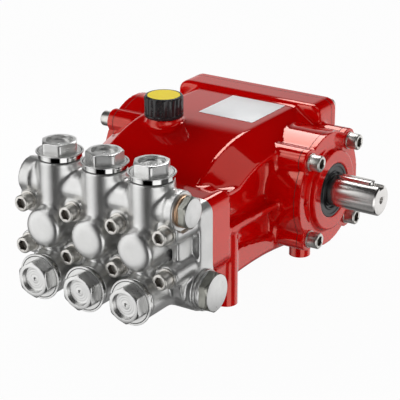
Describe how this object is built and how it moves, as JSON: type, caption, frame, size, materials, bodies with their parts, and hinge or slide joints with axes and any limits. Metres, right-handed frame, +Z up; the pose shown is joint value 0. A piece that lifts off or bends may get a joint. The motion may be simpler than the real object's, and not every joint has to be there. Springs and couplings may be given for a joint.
{
  "type": "three-plunger high-pressure pump",
  "caption": "Bare-shaft plunger pump: red cast crankcase on feet with a keyed crankshaft end, and a bolted steel wet end with valve columns, hexagon caps and side ports.",
  "frame": {"origin": "middle of the four foot holes, on the plane the feet stand on", "axes": "+X along the crankshaft towards its free end, -Y towards the wet end, +Z up"},
  "size_m": [0.3462, 0.3868, 0.199],
  "materials": {
    "red_paint": "glossy deep red enamel",
    "gasket": "dark fibre gasket",
    "screw_steel": "satin zinc-nickel screws",
    "seal_rubber": "satin black",
    "ground_steel": "fine ground steel",
    "black_plastic": "moulded black, semi-gloss",
    "yellow_plastic": "plain yellow insert",
    "white_plate": "bare white plate",
    "head_casting": "bead-blasted casting",
    "turned_steel": "turned and blasted steel",
    "copper": "copper sealing ring",
    "sight_glass": "clear oil sight glass"
  },
  "bodies": {
    "pump": {"blind_side_cover": "red_paint", "blind_side_cover_gasket": "gasket", "blind_side_cover_screw_1": "screw_steel", "blind_side_cover_screw_2": "screw_steel", "blind_side_cover_screw_3": "screw_steel", "blind_side_cover_screw_4": "screw_steel", "blind_side_cover_washers": "screw_steel", "crankcase": "red_paint", "discharge_plug": "turned_steel", "discharge_plug_ring": "copper", "discharge_valve_cap_1": "turned_steel", "discharge_valve_cap_2": "turned_steel", "discharge_valve_cap_3": "turned_steel", "drive_side_cover": "red_paint", "drive_side_cover_gasket": "gasket", "drive_side_cover_screw_1": "screw_steel", "drive_side_cover_screw_2": "screw_steel", "drive_side_cover_screw_3": "screw_steel", "drive_side_cover_screw_4": "screw_steel", "drive_side_cover_washers": "screw_steel", "head_screw_1": "screw_steel", "head_screw_2": "screw_steel", "head_screw_3": "screw_steel", "head_screw_4": "screw_steel", "head_screw_5": "screw_steel", "head_screw_6": "screw_steel", "head_screw_7": "screw_steel", "head_screw_8": "screw_steel", "head_screw_washers": "screw_steel", "nameplate": "white_plate", "oil_cap_disc": "yellow_plastic", "oil_drain_plug": "turned_steel", "oil_filler_cap": "black_plastic", "oil_sight_glass": "sight_glass", "pump_head": "head_casting", "rear_cover": "red_paint", "rear_cover_gasket": "gasket", "rear_cover_screws": "screw_steel", "shaft_seal": "seal_rubber", "suction_plug": "turned_steel", "suction_plug_ring": "turned_steel", "suction_valve_cap_1": "turned_steel", "suction_valve_cap_2": "turned_steel", "suction_valve_cap_3": "turned_steel"},
    "crankshaft": {"crankshaft": "ground_steel", "shaft_key": "ground_steel"}
  },
  "joints": [
    {"name": "crankshaft_spin", "type": "hinge", "parent": "pump", "child": "crankshaft", "pos_m": [0.125, 0.067, 0.094], "axis": [1, 0, 0], "continuous": true}
  ]
}
